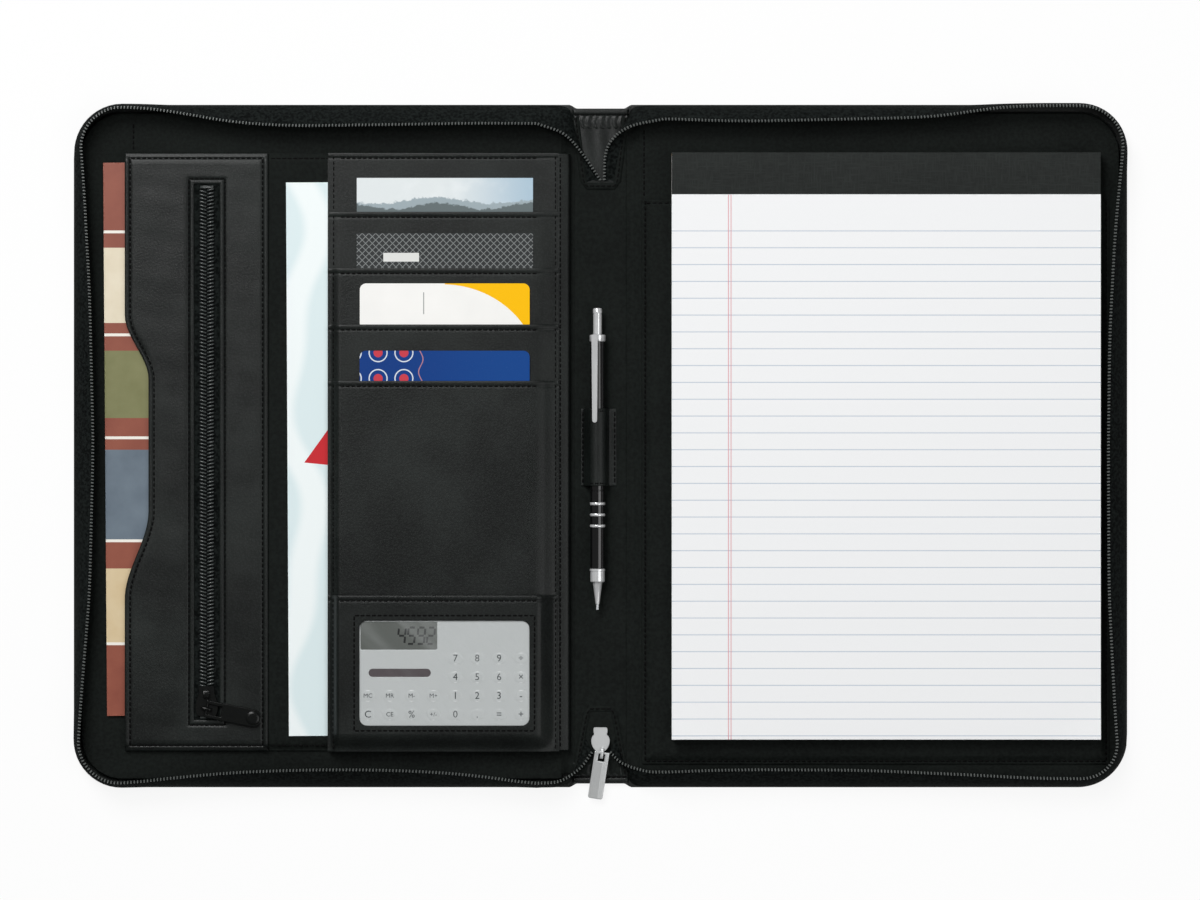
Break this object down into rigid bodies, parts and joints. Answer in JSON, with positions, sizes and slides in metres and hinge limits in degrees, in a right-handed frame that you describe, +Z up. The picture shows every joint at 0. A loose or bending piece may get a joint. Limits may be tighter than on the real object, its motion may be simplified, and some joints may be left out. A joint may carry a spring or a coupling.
{
  "type": "zippered padfolio",
  "caption": "Black leather-look zip-round folder lying open, with a ruled writing pad, a pen in its loop, card pockets, a zip pocket and a flat calculator behind a clear window.",
  "frame": {"origin": "middle of the spine's outer face, on the table", "axes": "+X from the left cover to the right one, +Y towards the top edge of the pages, +Z up"},
  "size_m": [0.533, 0.3514, 0.0152],
  "materials": {
    "cover_leather": "fine-grained black leather, soft sheen",
    "inner_leather": "pebbled black leather, soft sheen",
    "lining_cloth": "matte black lining cloth",
    "padding": "grey sheet padding",
    "stiff_board": "grey-brown chipboard",
    "zipper_tape": "black woven tape",
    "zipper_teeth": "black coil with grey glints",
    "pad_paper": "ruled white paper",
    "pad_header": "dark grey-green book cloth",
    "pad_backing": "chipboard",
    "steel_trim": "bright plated metal",
    "black_slider": "black enamel",
    "pen_black": "glossy black",
    "refill_plastic": "translucent tube",
    "spring_steel": "drawn wire",
    "calculator_silver": "silver-grey paint",
    "calculator_key": "printed keys",
    "calculator_lcd": "grey-green display",
    "calculator_solar": "dark solar cell",
    "circuit_board": "green laminate",
    "clear_film": "clear flexible film",
    "magazine_paper": "coated printed paper",
    "brochure_paper": "coated printed paper",
    "card_sky": "printed card",
    "card_slate": "printed card",
    "card_white": "printed plastic card",
    "card_blue": "printed plastic card"
  },
  "bodies": {
    "right_cover": {"right_cover_skin": "cover_leather", "right_cover_foam": "padding", "right_cover_board": "stiff_board", "right_lining": "lining_cloth", "right_zipper_tape": "zipper_tape", "right_zipper_teeth": "zipper_teeth", "pad_pocket_panel": "lining_cloth"},
    "writing_pad": {"pad_backing_board": "pad_backing", "pad_paper_block": "pad_paper", "pad_header_strip": "pad_header"},
    "top_sheet": {"pad_top_sheet": "pad_paper"},
    "spine": {"spine_skin": "cover_leather", "spine_board": "stiff_board", "spine_lining": "lining_cloth", "top_gusset_patch": "inner_leather", "bottom_gusset_patch": "inner_leather", "spine_zipper_teeth": "zipper_teeth", "pen_loop": "inner_leather"},
    "main_slider": {"main_slider_body": "steel_trim"},
    "main_pull": {"main_pull_tag": "steel_trim"},
    "pen": {"pen_barrel": "pen_black", "pen_clip": "steel_trim", "pen_trim_rings": "steel_trim", "pen_nose": "steel_trim", "pen_spring": "spring_steel"},
    "pen_button": {"pen_push_button": "steel_trim", "pen_refill": "refill_plastic"},
    "left_cover": {"left_cover_skin": "cover_leather", "left_cover_foam": "padding", "left_cover_board": "stiff_board", "left_lining": "lining_cloth", "left_zipper_tape": "zipper_tape", "left_zipper_teeth": "zipper_teeth", "document_pocket_panel": "lining_cloth", "zip_pocket_strip": "inner_leather", "zip_pocket_tape": "zipper_tape", "zip_pocket_teeth": "zipper_teeth", "zip_pocket_lining": "lining_cloth", "organizer_backing": "inner_leather", "card_pocket_1": "inner_leather", "card_pocket_2": "inner_leather", "card_pocket_3": "inner_leather", "card_pocket_4": "inner_leather", "window_pocket_panel": "inner_leather", "window_film": "clear_film"},
    "pocket_slider": {"pocket_slider_body": "black_slider"},
    "pocket_pull": {"pocket_slider_pull": "black_slider"},
    "magazine": {"magazine": "magazine_paper"},
    "brochure": {"brochure": "brochure_paper"},
    "card_1": {"card_1": "card_sky"},
    "card_2": {"card_2": "card_slate"},
    "card_3": {"card_3": "card_white"},
    "card_4": {"card_4": "card_blue"},
    "calculator": {"calculator_case": "calculator_silver", "calculator_circuit_board": "circuit_board", "calculator_face": "calculator_silver", "calculator_display": "calculator_lcd", "calculator_solar_cell": "calculator_solar", "calculator_keys": "calculator_key"}
  },
  "joints": [
    {"name": "spine_fold", "type": "hinge", "parent": "right_cover", "child": "spine", "pos_m": [0.015, 0, 0.0004], "axis": [0, -1, 0], "range_deg": [-90, 0]},
    {"name": "left_cover_fold", "type": "hinge", "parent": "spine", "child": "left_cover", "pos_m": [-0.015, 0, 0.0004], "axis": [0, -1, 0], "range_deg": [-90, 0]},
    {"name": "main_slider_slide", "type": "slide", "parent": "spine", "child": "main_slider", "axis": [0, -1, 0], "range_m": [0, 0.01]},
    {"name": "main_pull_flip", "type": "hinge", "parent": "main_slider", "child": "main_pull", "pos_m": [0.0008, -0.15495, 0.0066], "axis": [-0.9882, 0.153, 0], "range_deg": [0, 150]},
    {"name": "pen_draw", "type": "slide", "parent": "spine", "child": "pen", "axis": [0, 1, 0], "range_m": [0, 0.06]},
    {"name": "pen_button_retract", "type": "slide", "parent": "pen", "child": "pen_button", "axis": [0, 1, 0], "range_m": [0, 0.004]},
    {"name": "pad_draw", "type": "slide", "parent": "right_cover", "child": "writing_pad", "axis": [0, 1, 0], "range_m": [0, 0.012]},
    {"name": "top_sheet_turn", "type": "hinge", "parent": "writing_pad", "child": "top_sheet", "pos_m": [0.14385, 0.12675, 0.01265], "axis": [-1, 0, 0], "range_deg": [0, 170]},
    {"name": "pocket_slider_slide", "type": "slide", "parent": "left_cover", "child": "pocket_slider", "axis": [0, 1, 0], "range_m": [0, 0.251]},
    {"name": "pocket_pull_lift", "type": "hinge", "parent": "pocket_slider", "child": "pocket_pull", "pos_m": [-0.1986, -0.13245, 0.0095], "axis": [-0.1994, -0.9799, 0], "range_deg": [0, 150]},
    {"name": "magazine_draw", "type": "slide", "parent": "left_cover", "child": "magazine", "axis": [-1, 0, 0], "range_m": [0, 0.009]},
    {"name": "brochure_draw", "type": "slide", "parent": "left_cover", "child": "brochure", "axis": [-1, 0, 0], "range_m": [0, 0.007]},
    {"name": "card_1_draw", "type": "slide", "parent": "left_cover", "child": "card_1", "axis": [0, 1, 0], "range_m": [0, 0.028]},
    {"name": "card_2_draw", "type": "slide", "parent": "left_cover", "child": "card_2", "axis": [0, 1, 0], "range_m": [0, 0.04]},
    {"name": "card_3_draw", "type": "slide", "parent": "left_cover", "child": "card_3", "axis": [0, 1, 0], "range_m": [0, 0.04]},
    {"name": "card_4_draw", "type": "slide", "parent": "left_cover", "child": "card_4", "axis": [0, 1, 0], "range_m": [0, 0.04]},
    {"name": "calculator_draw", "type": "slide", "parent": "left_cover", "child": "calculator", "axis": [0, 1, 0], "range_m": [0, 0.062]}
  ]
}
